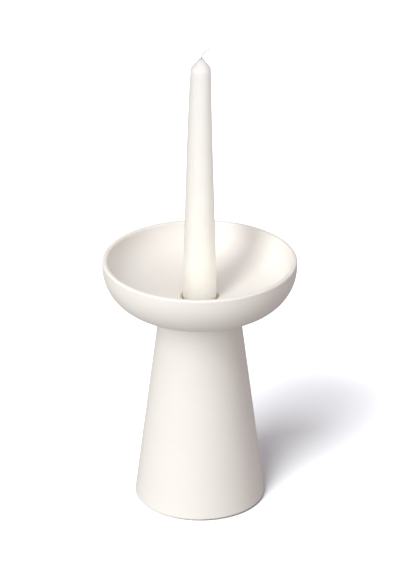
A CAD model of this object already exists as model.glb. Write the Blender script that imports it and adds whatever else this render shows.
"""Looks of the turned, painted candlestick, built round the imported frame. Metres, +Z up."""

import math
import random

import bpy
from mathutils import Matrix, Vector, noise


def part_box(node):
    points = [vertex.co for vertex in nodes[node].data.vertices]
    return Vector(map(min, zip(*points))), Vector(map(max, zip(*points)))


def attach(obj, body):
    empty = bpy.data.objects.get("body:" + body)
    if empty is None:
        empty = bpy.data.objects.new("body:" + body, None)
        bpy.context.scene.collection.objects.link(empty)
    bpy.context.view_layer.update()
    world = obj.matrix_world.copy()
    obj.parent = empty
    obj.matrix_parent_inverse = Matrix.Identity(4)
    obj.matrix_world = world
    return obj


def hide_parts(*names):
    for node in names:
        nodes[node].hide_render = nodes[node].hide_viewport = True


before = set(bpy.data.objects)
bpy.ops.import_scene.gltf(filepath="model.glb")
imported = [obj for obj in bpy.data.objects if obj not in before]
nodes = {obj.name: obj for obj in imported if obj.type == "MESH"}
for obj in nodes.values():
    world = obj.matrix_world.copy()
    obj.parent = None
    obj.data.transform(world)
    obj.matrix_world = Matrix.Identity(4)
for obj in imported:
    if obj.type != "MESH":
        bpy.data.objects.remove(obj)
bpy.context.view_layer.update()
MM = 0.001
TURN = 2 * math.pi

# What the frame says about the pieces that the looks are built round
FELT_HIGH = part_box("base_felt")[1]
COLUMN_LOW, COLUMN_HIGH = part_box("column")
BOWL_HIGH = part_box("bowl")[1]
WAX_LOW, WAX_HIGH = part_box("candle")
WICK_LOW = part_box("wick")[0]

# Candle: the same outline as its CAD solid
WAX_FOOT_R = WAX_HIGH.x
WAX_SHOULDER_R = 6.6 * MM
WAX_LENGTH = WAX_HIGH.z - WAX_LOW.z
GRIP_HEIGHT = 22 * MM
FULLNESS = 1.2
TIP_SLOPE = math.radians(50)
SHOULDER_ROUND = 5.5 * MM
FOOT_ROUND = 0.8 * MM
NIB_R = 1.05 * MM
NIB_BEAD = 0.12 * MM
NIB_DIMPLE = 0.15 * MM
CANDLE_SIDES = 112
FOOT_STEPS, GRIP_STEPS, TAPER_STEPS, ROUND_STEPS, CONE_STEPS = 8, 12, 150, 10, 14
# Hand-dipped candles are never quite straight: this one's tip bends towards +X
TIP_LEAN = 0.9 * MM
LEAN_START = WAX_LOW.z + 117 * MM
LEAN_POWER = 2.5
# Nor quite round, apart from the foot in its cup: runs down the side, and slow waves
RUN_DEPTH = 0.05 * MM
WAVE_DEPTH = 0.16 * MM
RUNS_AROUND, RUNS_UP = 3.1, 9
WAVES_AROUND, WAVES_UP = 0.8, 55
WAVES_SEED = (7, 3)
WAVES_START = WAX_LOW.z + 12 * MM
WAVES_FULL = WAX_LOW.z + 40 * MM
MOST_SUNK = 0.3

# Wick: a braid of three strands of five yarns, bent over above the candle's tip
WICK_R = -WICK_LOW.x
STRANDS = 3
STRAND_R = 0.36 * MM
STRAND_SIDES = 20
BRAID_PITCH = 3.6 * MM
YARNS = 5
YARN_GROOVE = 0.12
YARN_PITCH = 2.2 * MM
FIRST_BEND_R = 5 * MM
FIRST_BEND = math.radians(30)
SECOND_BEND_R = 8 * MM
SECOND_BEND = math.radians(46)
BURIED_STEPS = 260
BENT_STEP = 0.11 * MM
LOOSE_ENDS = 26
LOOSE_END_R = 0.055 * MM
LOOSE_END_SIZES = (0.7, 1.5)
LOOSE_END_SPREAD = 0.55 * WICK_R
LOOSE_END_BURIED = 0.4 * MM

# Felt: soft edges, an uneven face, and fibres that stand off its rim
FELT_R = FELT_HIGH.x
FELT_THICK = FELT_HIGH.z
FELT_EDGE = 0.3 * MM
FELT_EDGE_STEPS = 4
FELT_SIDES = 220
FELT_FACE_RINGS = 24
RIM_FROM = 0.97 * FELT_R
RIM_RAGGED, RIM_BUMPS_PER_M = 0.09 * MM, 700
FACE_UNEVEN, FACE_BUMPS_PER_M = 0.08 * MM, 450
FUZZ = 420
FUZZ_R = 0.022 * MM
FUZZ_SIZES = (0.4, 1.1)
FUZZ_BURIED = 0.15 * MM

# Loose fibres of the wick and the felt, whose lengths above are (least, most) millimetres
FIBRE_SIDES = 5
FIBRE_STEPS = 7
FIBRE_TAPER = 0.7

# Colours: linear red, green and blue
PAINT = (0.875, 0.856, 0.820)
PAINT_WARM = (0.85, 0.818, 0.768)
PAINT_MARK = (0.60, 0.57, 0.53)
CUP_BRASS, CUP_DULL = (0.93, 0.86, 0.72), (0.78, 0.68, 0.52)
INSERT_BRASS, INSERT_DULL = (0.78, 0.58, 0.28), (0.60, 0.42, 0.20)
ZINC, ZINC_DULL = (0.62, 0.63, 0.65), (0.45, 0.46, 0.47)
WAX_FOOT, WAX_TIP = (0.83, 0.815, 0.762), (0.735, 0.73, 0.715)
WAX_SHADE = (0.74, 0.705, 0.63)
COTTON_LIGHT, COTTON_DARK = (0.85, 0.85, 0.84), (0.74, 0.74, 0.73)
COTTON_SOAKED = (0.62, 0.58, 0.50)
FELT_DARK, FELT_PALE = (0.70, 0.675, 0.635), (0.88, 0.865, 0.83)

# Paint: wood pores under it, long in the grain's direction (x, y, z in millimetres), and the
# height of the bands at the edges where it is rubbed thin
COLUMN_PORES = (0.4, 0.4, 12)
BOWL_PORES = (12, 0.4, 0.4)
WORN_EDGE = 1.0 * MM
WORN_FADE = 0.4 * MM

# Camera: long lens, 25 degrees above level
CAMERA_ELEVATION = math.radians(25.35)
CAMERA_DISTANCE = 2.247
CAMERA_TARGET = Vector((0, 0, 0.15115))
CAMERA_LENS = 222.2
CAMERA_SENSOR = 36
CAMERA_SHIFT = 0.0005

# The studio. A tall softbox, front left, lights the candlestick. The photo's floor is blown out to
# white, so the floor has lights of its own, and throws back less than the camera sees.
KEY_AZIMUTH = math.radians(36)
KEY_ELEVATION = math.radians(28)
KEY_SIZE = (1.35, 3.4)
KEY_WATTS = 119
KEY_COLOUR = (0.97, 1.0, 0.985)
LAMP_DISTANCE = 4.0
AMBIENT = (0.415, 0.379, 0.384)
BACKGROUND_STRENGTH = 1.05
# (degrees left of the camera, degrees up, degrees wide, watts per square metre)
TOP_LIGHT = (20, 70, 50, 0.82)
FILL_LIGHT = (-35, 38, 60, 0.22)
WAX_LIGHT = (-28, 18, 60, 1.30)
FLOOR_LIGHTS = ((32, 37, 38, 4.5), (41, 56, 36, 1.6))
FLOOR_SEEN = (0.935, 0.967, 1.0)
FLOOR_THROWS = (0.258, 0.245, 0.240)
FLOOR_HALF = 14.0


# ---------------------------------------------------------------- meshes

def mesh_object(name, points, faces):
    """A smooth-shaded mesh object in the scene."""
    mesh = bpy.data.meshes.new(name)
    mesh.from_pydata(points, [], faces)
    mesh.validate()
    mesh.shade_smooth()
    made = bpy.data.objects.new(name, mesh)
    bpy.context.scene.collection.objects.link(made)
    return made


def skin(name, rings):
    """A closed mesh over rings of points: quads from ring to ring, and a cap at each end."""
    count = len(rings[0])
    points = [point for ring in rings for point in ring]
    faces = [tuple(reversed(range(count)))]
    for row in range(len(rings) - 1):
        a, b = row * count, (row + 1) * count
        for i in range(count):
            j = (i + 1) % count
            faces.append((a + i, a + j, b + j, b + i))
    faces.append(tuple(range(len(points) - count, len(points))))
    return mesh_object(name, points, faces)


def joined(name, parts):
    """One object from several."""
    with bpy.context.temp_override(
        active_object=parts[0], selected_objects=parts, selected_editable_objects=parts
    ):
        bpy.ops.object.join()
    parts[0].name = name
    parts[0].data.name = name
    return parts[0]


def arc(middle, radius, start, end, steps):
    """(radius, height) points on a quarter turn or less round a middle, both ends included."""
    angles = [start + (end - start) * i / steps for i in range(steps + 1)]
    return [(middle[0] + radius * math.cos(a), middle[1] + radius * math.sin(a)) for a in angles]


def shares(steps):
    """Even steps from 0 to 1, both included."""
    return [i / steps for i in range(steps + 1)]


def smooth_step(low, high, value):
    """0 below low, 1 above high, and smooth between."""
    t = min(1.0, max(0.0, (value - low) / (high - low)))
    return t * t * (3 - 2 * t)


def draws(draw, *ranges):
    """A vector of random numbers, each in its own (low, high) range."""
    return Vector([draw.uniform(low, high) for low, high in ranges])


# ---------------------------------------------------------------- materials

def material(name):
    """A new node material: its tree, and its principled shader."""
    made = bpy.data.materials.new(name)
    made.use_nodes = True
    return made, made.node_tree, made.node_tree.nodes["Principled BSDF"]


def add(tree, kind, inputs=(), **settings):
    """A node with its settings and inputs, given as values or as sockets to link from."""
    made = tree.nodes.new("ShaderNode" + kind)
    for key, value in settings.items():
        setattr(made, key, value)
    for socket, value in dict(inputs).items():
        if isinstance(value, bpy.types.NodeSocket):
            tree.links.new(value, made.inputs[socket])
        else:
            made.inputs[socket].default_value = value
    return made


def coords(tree):
    """Coordinates in the frame, in metres."""
    return add(tree, "TexCoord").outputs["Object"]


def height_of(tree):
    """The height over the floor, in metres."""
    return add(tree, "SeparateXYZ", {"Vector": coords(tree)}).outputs[2]


def grain(tree, sizes, detail=2.0, roughness=0.5):
    """Noise whose blobs are about sizes = (x, y, z) millimetres, from 0 to 1."""
    scale = [1 / (size * MM) for size in sizes]
    stretched = add(tree, "Mapping", {"Vector": coords(tree), "Scale": scale}).outputs[0]
    return add(tree, "TexNoise", {
        "Vector": stretched, "Scale": 1.0, "Detail": detail, "Roughness": roughness,
    }).outputs["Fac"]


def span(tree, value, low, high, to_low=0.0, to_high=1.0):
    """value from low to high, remapped and clamped."""
    return add(tree, "MapRange", {
        "Value": value, "From Min": low, "From Max": high, "To Min": to_low, "To Max": to_high,
    }).outputs[0]


def maths(tree, operation, a, b):
    """One arithmetic node."""
    return add(tree, "Math", {0: a, 1: b}, operation=operation).outputs[0]


def weighted(tree, *layers):
    """The sum of (value, weight) layers."""
    total = None
    for value, weight in layers:
        part = maths(tree, "MULTIPLY", value, weight)
        total = part if total is None else maths(tree, "ADD", total, part)
    return total


def blend_colours(tree, factor, a, b):
    """Colour a at factor 0, b at factor 1."""
    factor_socket, a_socket, b_socket = 0, 6, 7
    made = add(tree, "Mix", {factor_socket: factor}, data_type="RGBA")
    for socket, colour in ((a_socket, a), (b_socket, b)):
        if isinstance(colour, bpy.types.NodeSocket):
            tree.links.new(colour, made.inputs[socket])
        else:
            made.inputs[socket].default_value = (*colour, 1)
    return made.outputs[2]


def bumps(tree, shader, *layers):
    """Chained bump nodes, each (height from 0 to 1, depth in millimetres)."""
    normal = None
    for height, depth in layers:
        inputs = {"Height": height, "Distance": depth * MM, "Strength": 1.0}
        if normal is not None:
            inputs["Normal"] = normal
        normal = add(tree, "Bump", inputs).outputs[0]
    tree.links.new(normal, shader.inputs["Normal"])


def marks(tree, cell, size, share):
    """Sparse round marks, size millimetres: 1 in a mark, in about a share of cells this wide."""
    cells = add(tree, "TexVoronoi", {"Vector": coords(tree), "Scale": 1 / (cell * MM)})
    near = span(tree, cells.outputs["Distance"], size / cell, 0.6 * size / cell)
    chosen = add(tree, "SeparateColor", {"Color": cells.outputs["Color"]}).outputs[0]
    return maths(tree, "MULTIPLY", near, maths(tree, "LESS_THAN", chosen, share))


def rubbed_edges(tree, edges):
    """1 in patches along the edges, each a band between (low, high) heights."""
    height = height_of(tree)
    worn = None
    for low, high in edges:
        band = maths(tree, "MULTIPLY", span(tree, height, low - WORN_FADE, low),
                     span(tree, height, high + WORN_FADE, high))
        worn = band if worn is None else maths(tree, "MAXIMUM", worn, band)
    rubbed = span(tree, grain(tree, (6, 6, 6), detail=4), 0.40, 0.62)
    return maths(tree, "MULTIPLY", worn, rubbed)


def lathe_rings(tree):
    """Fine rings, as a lathe leaves them, from 0 to 1."""
    return add(tree, "TexWave", {
        "Vector": coords(tree), "Scale": 160.0, "Distortion": 0.6, "Detail": 2.0, "Detail Scale": 1.0,
    }, wave_type="BANDS", bands_direction="Z").outputs["Fac"]


def paint(name, pore, edges):
    """Matt off-white paint over turned wood: faint pores, lathe rings, nicks and worn edges.

    pore is the size of a wood pore under the paint, and edges are the (low, high) heights of the
    bands where the paint is rubbed thin.
    """
    made, tree, shader = material(name)
    patches = span(tree, grain(tree, (30, 30, 30)), 0.3, 0.7)
    flecks = span(tree, grain(tree, (0.9, 0.9, 0.9), detail=3), 0.25, 0.75)
    pores = grain(tree, pore, detail=3, roughness=0.6)
    tone = weighted(tree, (patches, 0.45), (flecks, 0.40), (rubbed_edges(tree, edges), 0.55))
    coat = blend_colours(tree, tone, PAINT, PAINT_WARM)
    nicks = maths(tree, "MULTIPLY", marks(tree, 16, 0.5, 0.22), 0.45)
    tree.links.new(blend_colours(tree, nicks, coat, PAINT_MARK), shader.inputs["Base Color"])
    tree.links.new(span(tree, patches, 0, 1, 0.54, 0.64), shader.inputs["Roughness"])
    shader.inputs["Specular IOR Level"].default_value = 0.36
    bumps(tree, shader, (pores, 0.045), (lathe_rings(tree), 0.014), (flecks, 0.022),
          (patches, 0.10), (nicks, -0.12))
    return made


def brass(name, bright, dull, roughness):
    """Drawn brass, gone dull: brushed round its axis, with darker patches."""
    made, tree, shader = material(name)
    patches = span(tree, grain(tree, (4, 4, 4), detail=4), 0.35, 0.7)
    brushing = grain(tree, (1.2, 1.2, 0.06), detail=2)
    tree.links.new(blend_colours(tree, patches, bright, dull), shader.inputs["Base Color"])
    tree.links.new(span(tree, patches, 0, 1, roughness, roughness + 0.2), shader.inputs["Roughness"])
    shader.inputs["Metallic"].default_value = 1.0
    bumps(tree, shader, (brushing, 0.010), (patches, 0.02))
    return made


def steel():
    """Zinc-plated screw: bright, cloudy, with a fine turned finish."""
    made, tree, shader = material("screw_steel_finish")
    clouds = span(tree, grain(tree, (1.2, 1.2, 1.2), detail=4), 0.35, 0.7)
    turned = grain(tree, (0.8, 0.8, 0.04))
    tree.links.new(blend_colours(tree, clouds, ZINC, ZINC_DULL), shader.inputs["Base Color"])
    tree.links.new(span(tree, clouds, 0, 1, 0.26, 0.42), shader.inputs["Roughness"])
    shader.inputs["Metallic"].default_value = 1.0
    bumps(tree, shader, (turned, 0.003))
    return made


def wax():
    """Cream dipped wax: whiter towards the tip, with faint streaks from the dipping."""
    made, tree, shader = material("wax_finish")
    up = span(tree, height_of(tree), WAX_LOW.z + 30 * MM, WAX_HIGH.z)
    cream = blend_colours(tree, up, WAX_FOOT, WAX_TIP)
    streaks = span(tree, grain(tree, (1.6, 1.6, 35), detail=3), 0.3, 0.7)
    cloud = span(tree, grain(tree, (8, 8, 16), detail=3), 0.3, 0.7)
    shade = weighted(tree, (streaks, 0.20), (cloud, 0.20))
    tree.links.new(blend_colours(tree, shade, cream, WAX_SHADE), shader.inputs["Base Color"])
    tree.links.new(span(tree, streaks, 0, 1, 0.38, 0.50), shader.inputs["Roughness"])
    shader.inputs["Subsurface Weight"].default_value = 1.0
    shader.inputs["Subsurface Radius"].default_value = (1.0, 0.93, 0.80)
    shader.inputs["Subsurface Scale"].default_value = 20 * MM
    shader.inputs["Specular IOR Level"].default_value = 0.35
    shader.inputs["IOR"].default_value = 1.44
    pits = grain(tree, (0.5, 0.5, 0.7), detail=2)
    bumps(tree, shader, (streaks, 0.09), (cloud, 0.10), (pits, 0.03))
    return made


def cotton():
    """Braided cotton, waxy and darker where it leaves the wax."""
    made, tree, shader = material("cotton_finish")
    fibres = span(tree, grain(tree, (0.06, 0.06, 0.6), detail=3), 0.3, 0.7)
    dry = blend_colours(tree, fibres, COTTON_LIGHT, COTTON_DARK)
    soaked = span(tree, height_of(tree), WAX_HIGH.z + 1.3 * MM, WAX_HIGH.z + 0.1 * MM)
    tree.links.new(blend_colours(tree, soaked, dry, COTTON_SOAKED), shader.inputs["Base Color"])
    shader.inputs["Roughness"].default_value = 0.85
    shader.inputs["Sheen Weight"].default_value = 0.3
    shader.inputs["Sheen Roughness"].default_value = 0.5
    bumps(tree, shader, (fibres, 0.02))
    return made


def felt():
    """Pressed wool: fibres that lie every way, darker between them."""
    made, tree, shader = material("felt_finish")
    along_x, along_y, clumps = (
        span(tree, grain(tree, sizes, detail=3), 0.35, 0.65)
        for sizes in ((2.5, 0.22, 0.3), (0.22, 2.5, 0.3), (0.6, 0.6, 0.6))
    )
    crossed = maths(tree, "MAXIMUM", along_x, along_y)
    tone = maths(tree, "MULTIPLY", crossed, clumps)
    tree.links.new(blend_colours(tree, tone, FELT_DARK, FELT_PALE), shader.inputs["Base Color"])
    shader.inputs["Roughness"].default_value = 0.95
    shader.inputs["Specular IOR Level"].default_value = 0.15
    shader.inputs["Sheen Weight"].default_value = 0.4
    shader.inputs["Sheen Roughness"].default_value = 0.6
    bumps(tree, shader, (crossed, 0.12), (clumps, 0.08))
    return made


def dress(obj, finish):
    """Gives an object one material."""
    obj.data.materials.clear()
    obj.data.materials.append(finish)


# ---------------------------------------------------------------- candle

def lean(z):
    """How far the candle's middle is off its axis at height z, towards +X."""
    share = max(0.0, (z - LEAN_START) / (WAX_HIGH.z - LEAN_START))
    return TIP_LEAN * share ** LEAN_POWER


def wax_outline():
    """(radius, height over the foot) from the foot's middle to the nib."""
    quarter = math.pi / 2
    cone_r = WAX_SHOULDER_R - SHOULDER_ROUND * (1 - math.sin(TIP_SLOPE))
    cone_z = WAX_LENGTH - (cone_r - NIB_R) * math.tan(TIP_SLOPE)
    shoulder_z = cone_z - SHOULDER_ROUND * math.cos(TIP_SLOPE)
    underside = [(WAX_FOOT_R * share, 0.0) for share in (0.3, 0.6, 0.85)]
    foot = arc((WAX_FOOT_R - FOOT_ROUND, FOOT_ROUND), FOOT_ROUND, -quarter, 0, FOOT_STEPS)
    grip = [(WAX_FOOT_R, FOOT_ROUND + (GRIP_HEIGHT - FOOT_ROUND) * share)
            for share in shares(GRIP_STEPS)[1:-1]]
    taper = [(WAX_FOOT_R - (WAX_FOOT_R - WAX_SHOULDER_R) * share ** FULLNESS,
              GRIP_HEIGHT + (shoulder_z - GRIP_HEIGHT) * share) for share in shares(TAPER_STEPS)]
    shoulder = arc((WAX_SHOULDER_R - SHOULDER_ROUND, shoulder_z), SHOULDER_ROUND,
                   0, quarter - TIP_SLOPE, ROUND_STEPS)[1:]
    cone = [(cone_r + (NIB_R - cone_r) * share, cone_z + (WAX_LENGTH - cone_z) * share)
            for share in shares(CONE_STEPS)[1:]]
    nib = [(NIB_R * 0.8, WAX_LENGTH + NIB_BEAD), (NIB_R * 0.72, WAX_LENGTH - NIB_DIMPLE)]
    return underside + foot + grip + taper + shoulder + cone + nib


def dip_marks(angle, z):
    """How far the wax sinks inwards, in metres: runs down the side, and slow waves."""
    around = Vector((math.cos(angle), math.sin(angle), 0))
    runs = noise.noise(around * RUNS_AROUND + Vector((0, 0, z * RUNS_UP)))
    waves = noise.noise(around * WAVES_AROUND + Vector((*WAVES_SEED, z * WAVES_UP)))
    free = smooth_step(WAVES_START, WAVES_FULL, z)
    return (0.5 + 0.5 * runs) * RUN_DEPTH + free * (0.5 + 0.5 * waves) * WAVE_DEPTH


def wax_ring(radius, z):
    """One ring of the candle's skin."""
    middle = lean(z)
    ring = []
    for i in range(CANDLE_SIDES):
        a = TURN * i / CANDLE_SIDES
        sunk = min(MOST_SUNK * radius, dip_marks(a, z)) * min(1, radius / WAX_SHOULDER_R)
        ring.append((middle + (radius - sunk) * math.cos(a), (radius - sunk) * math.sin(a), z))
    return ring


def make_candle():
    """The dipped candle, in place of its CAD solid."""
    rings = [wax_ring(radius, WAX_LOW.z + height) for radius, height in wax_outline()]
    candle = skin("dipped_candle", rings)
    dress(candle, wax())
    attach(candle, "candle")
    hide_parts("candle")
    return candle


# ---------------------------------------------------------------- fibres, wick and felt

def fibre(name, start, ahead, length, droop, radius):
    """One loose fibre: a thin tapering tube that bends as it goes."""
    rings = []
    at = start.copy()
    heading = ahead.normalized()
    for i in range(FIBRE_STEPS + 1):
        side = heading.orthogonal().normalized()
        up = heading.cross(side)
        r = radius * (1 - FIBRE_TAPER * i / FIBRE_STEPS)
        angles = [TURN * k / FIBRE_SIDES for k in range(FIBRE_SIDES)]
        rings.append([at + (side * math.cos(a) + up * math.sin(a)) * r for a in angles])
        at = at + heading * length / FIBRE_STEPS
        heading = (heading + droop / FIBRE_STEPS).normalized()
    return skin(name, rings)


def wick_route():
    """(middle, direction) along the wick, from the candle's foot to its bent end."""
    route = []
    for i in range(BURIED_STEPS):
        z = WAX_LOW.z + WAX_LENGTH * i / BURIED_STEPS
        route.append((Vector((lean(z), 0, z)), Vector((0, 0, 1))))
    at = Vector((lean(WAX_HIGH.z), 0, WAX_HIGH.z))
    angle = 0.0
    for radius, bend in ((FIRST_BEND_R, FIRST_BEND), (SECOND_BEND_R, SECOND_BEND)):
        steps = round(radius * bend / BENT_STEP)
        for _ in range(steps):
            ahead = Vector((math.sin(angle), 0, math.cos(angle)))
            route.append((at.copy(), ahead))
            at += ahead * radius * bend / steps
            angle += bend / steps
    route.append((at, Vector((math.sin(angle), 0, math.cos(angle)))))
    return route


def strand(name, route, phase):
    """One of the braid's strands, itself twisted from yarns."""
    swing = WICK_R - STRAND_R
    rings = []
    along = 0.0
    for i, (middle, ahead) in enumerate(route):
        if i:
            along += (middle - route[i - 1][0]).length
        side = Vector((ahead.z, 0, -ahead.x))
        out = Vector((0, 1, 0))
        t = TURN * along / BRAID_PITCH + phase
        centre = middle + out * swing * math.sin(t) + side * 0.5 * swing * math.sin(2 * t)
        ring = []
        for k in range(STRAND_SIDES):
            a = TURN * k / STRAND_SIDES
            groove = 0.5 + 0.5 * math.cos(YARNS * a + TURN * along / YARN_PITCH)
            r = STRAND_R * (1 - YARN_GROOVE * groove)
            ring.append(centre + side * r * math.cos(a) + out * r * math.sin(a))
        rings.append(ring)
    return skin(name, rings)


def loose_ends(end, ahead):
    """The fibres that stand out of the wick's cut end."""
    draw = random.Random(11)
    either = (-1, 1)
    fibres = []
    for i in range(LOOSE_ENDS):
        offset = draws(draw, either, either, either)
        start = end - ahead * LOOSE_END_BURIED + offset * LOOSE_END_SPREAD
        droop = draws(draw, either, either, (-1, 0.6))
        length = draw.uniform(*LOOSE_END_SIZES) * MM
        fibres.append(fibre(f"fibre_{i}", start, ahead + 0.35 * offset, length, droop * 0.9,
                            LOOSE_END_R))
    return fibres


def make_wick():
    """The braided wick, with the loose fibres of its cut end."""
    route = wick_route()
    parts = [strand(f"strand_{i}", route, TURN * i / STRANDS) for i in range(STRANDS)]
    wick = joined("braided_wick", parts + loose_ends(*route[-1]))
    dress(wick, cotton())
    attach(wick, "candle")
    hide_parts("wick")
    return wick


def felt_outline():
    """(radius, height) from the middle of the felt's face, round its edge, to its top."""
    quarter = math.pi / 2
    inner = FELT_R - FELT_EDGE
    face = [(FELT_R * share, 0.0) for share in shares(FELT_FACE_RINGS)[1:-1]]
    low_edge = arc((inner, FELT_EDGE), FELT_EDGE, -quarter, 0, FELT_EDGE_STEPS)
    high_edge = arc((inner, FELT_THICK - FELT_EDGE), FELT_EDGE, 0, quarter, FELT_EDGE_STEPS)
    top = [(FELT_R * share, FELT_THICK) for share in (0.9, 0.5, 0.1)]
    return face + low_edge + high_edge + top


def felt_ring(radius, z):
    """One ring of the felt's skin, ragged at the rim and uneven on the face."""
    ring = []
    for i in range(FELT_SIDES):
        a = TURN * i / FELT_SIDES
        at = Vector((math.cos(a), math.sin(a), 0)) * radius + Vector((0, 0, z))
        ragged = max(0, noise.noise(at * RIM_BUMPS_PER_M)) * RIM_RAGGED if radius > RIM_FROM else 0
        lifted = abs(noise.noise(at * FACE_BUMPS_PER_M)) * FACE_UNEVEN if z == 0 else 0
        ring.append((at.x * (1 - ragged / radius), at.y * (1 - ragged / radius), z + lifted))
    return ring


def fuzz():
    """The fibres that stand off the felt's rim."""
    draw = random.Random(5)
    either = (-1, 1)
    fibres = []
    for i in range(FUZZ):
        a = draw.uniform(0, TURN)
        out = Vector((math.cos(a), math.sin(a), draw.uniform(-0.25, 0.35)))
        start = Vector((math.cos(a), math.sin(a), 0)) * (FELT_R - FUZZ_BURIED)
        start.z = draw.uniform(0.25, 0.85) * FELT_THICK
        droop = draws(draw, either, either, (-0.3, 0.3)) * 2.2
        length = draw.uniform(*FUZZ_SIZES) * MM
        fibres.append(fibre(f"fuzz_{i}", start, out, length, droop, FUZZ_R))
    return fibres


def make_felt():
    """The felt under the foot, in place of its CAD solid. None of it is below the floor."""
    pad = skin("pad", [felt_ring(radius, z) for radius, z in felt_outline()])
    pad = joined("felt_pad", [pad] + fuzz())
    for vertex in pad.data.vertices:
        vertex.co.z = max(0.0, vertex.co.z)
    dress(pad, felt())
    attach(pad, "holder")
    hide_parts("base_felt")
    return pad


# ---------------------------------------------------------------- stage

def make_floor():
    """A wide floor, plain white apart from the shadow."""
    half = FLOOR_HALF
    corners = [(-half, -half, 0), (half, -half, 0), (half, half, 0), (-half, half, 0)]
    floor = mesh_object("floor", corners, [(0, 1, 2, 3)])
    made, tree, shader = material("floor_finish")
    tree.nodes.remove(shader)
    throws = add(tree, "BsdfDiffuse", {"Color": (*FLOOR_THROWS, 1)}).outputs[0]
    seen = add(tree, "BsdfDiffuse", {"Color": (*FLOOR_SEEN, 1)}).outputs[0]
    direct = add(tree, "LightPath").outputs["Is Camera Ray"]
    both = add(tree, "MixShader", {0: direct, 1: throws, 2: seen}).outputs[0]
    tree.links.new(both, tree.nodes["Material Output"].inputs["Surface"])
    dress(floor, made)
    return floor


def lamp_towards(name, kind, azimuth, elevation):
    """A lamp at LAMP_DISTANCE, aimed at the candlestick's middle."""
    lamp = bpy.data.lights.new(name, kind)
    level = math.cos(elevation)
    away = Vector((-math.sin(azimuth) * level, -math.cos(azimuth) * level, math.sin(elevation)))
    made = bpy.data.objects.new(name, lamp)
    made.location = CAMERA_TARGET + away * LAMP_DISTANCE
    made.rotation_euler = (-away).to_track_quat("-Z", "Y").to_euler()
    bpy.context.scene.collection.objects.link(made)
    return made


def softbox(name, azimuth, elevation):
    """The tall softbox."""
    key = lamp_towards(name, "AREA", azimuth, elevation)
    key.data.shape = "RECTANGLE"
    key.data.size, key.data.size_y = KEY_SIZE
    key.data.energy = KEY_WATTS
    key.data.color = KEY_COLOUR
    return key


def soft_sun(name, azimuth, elevation, width, energy):
    """A sun as wide as a distant softbox, its angles in degrees."""
    sun = lamp_towards(name, "SUN", math.radians(azimuth), math.radians(elevation))
    sun.data.angle = math.radians(width)
    sun.data.energy = energy
    return sun


def link_light(light, state, *things):
    """Makes a light reach only these things (state INCLUDE) or everything else (EXCLUDE)."""
    group = bpy.data.collections.new(light.name + "_reach")
    for thing in things:
        group.objects.link(thing)
    for member in group.collection_objects:
        member.light_linking.link_state = state
    light.light_linking.receiver_collection = group


def make_lights(floor, candle):
    """The candlestick's softbox, top light and fill, a fill for the wax, and the floor's lights."""
    link_light(softbox("key", KEY_AZIMUTH, KEY_ELEVATION), "EXCLUDE", floor)
    link_light(soft_sun("top", *TOP_LIGHT), "EXCLUDE", floor, candle)
    link_light(soft_sun("fill", *FILL_LIGHT), "EXCLUDE", floor)
    link_light(soft_sun("wax_fill", *WAX_LIGHT), "INCLUDE", candle)
    for i, light in enumerate(FLOOR_LIGHTS):
        link_light(soft_sun(f"floor_light_{i}", *light), "INCLUDE", floor)


def make_world():
    """Even light from all round, which the camera sees as plain white."""
    world = bpy.data.worlds.new("studio")
    bpy.context.scene.world = world
    world.use_nodes = True
    tree = world.node_tree
    tree.nodes.clear()
    seen = add(tree, "LightPath").outputs["Is Camera Ray"]
    light = add(tree, "Background", {"Color": (*AMBIENT, 1), "Strength": 1.0}).outputs[0]
    white = add(tree, "Background", {
        "Color": (1, 1, 1, 1), "Strength": BACKGROUND_STRENGTH,
    }).outputs[0]
    both = add(tree, "MixShader", {0: seen, 1: light, 2: white}).outputs[0]
    add(tree, "OutputWorld", {"Surface": both})


def make_camera():
    """The camera, in front and above, on a long lens."""
    data = bpy.data.cameras.new("camera")
    data.lens = CAMERA_LENS
    data.sensor_width = CAMERA_SENSOR
    data.shift_x = CAMERA_SHIFT
    data.clip_end = 100
    camera = bpy.data.objects.new("camera", data)
    back = Vector((0, -math.cos(CAMERA_ELEVATION), math.sin(CAMERA_ELEVATION)))
    camera.location = CAMERA_TARGET + back * CAMERA_DISTANCE
    camera.rotation_euler = (-back).to_track_quat("-Z", "Y").to_euler()
    bpy.context.scene.collection.objects.link(camera)
    bpy.context.scene.camera = camera


# ---------------------------------------------------------------- the scene

make_camera()
make_world()
bpy.context.scene.view_settings.view_transform = "Standard"

dress(nodes["column"], paint("column_paint_finish", COLUMN_PORES, [
    (COLUMN_LOW.z, COLUMN_LOW.z + WORN_EDGE),
    (COLUMN_HIGH.z - WORN_EDGE, COLUMN_HIGH.z),
]))
dress(nodes["bowl"], paint("bowl_paint_finish", BOWL_PORES, [
    (BOWL_HIGH.z - WORN_EDGE, BOWL_HIGH.z),
]))
dress(nodes["candle_cup"], brass("cup_brass_finish", CUP_BRASS, CUP_DULL, 0.5))
dress(nodes["threaded_insert"], brass("insert_brass_finish", INSERT_BRASS, INSERT_DULL, 0.25))
dress(nodes["cup_screw"], steel())
make_wick()
make_felt()
make_lights(make_floor(), make_candle())
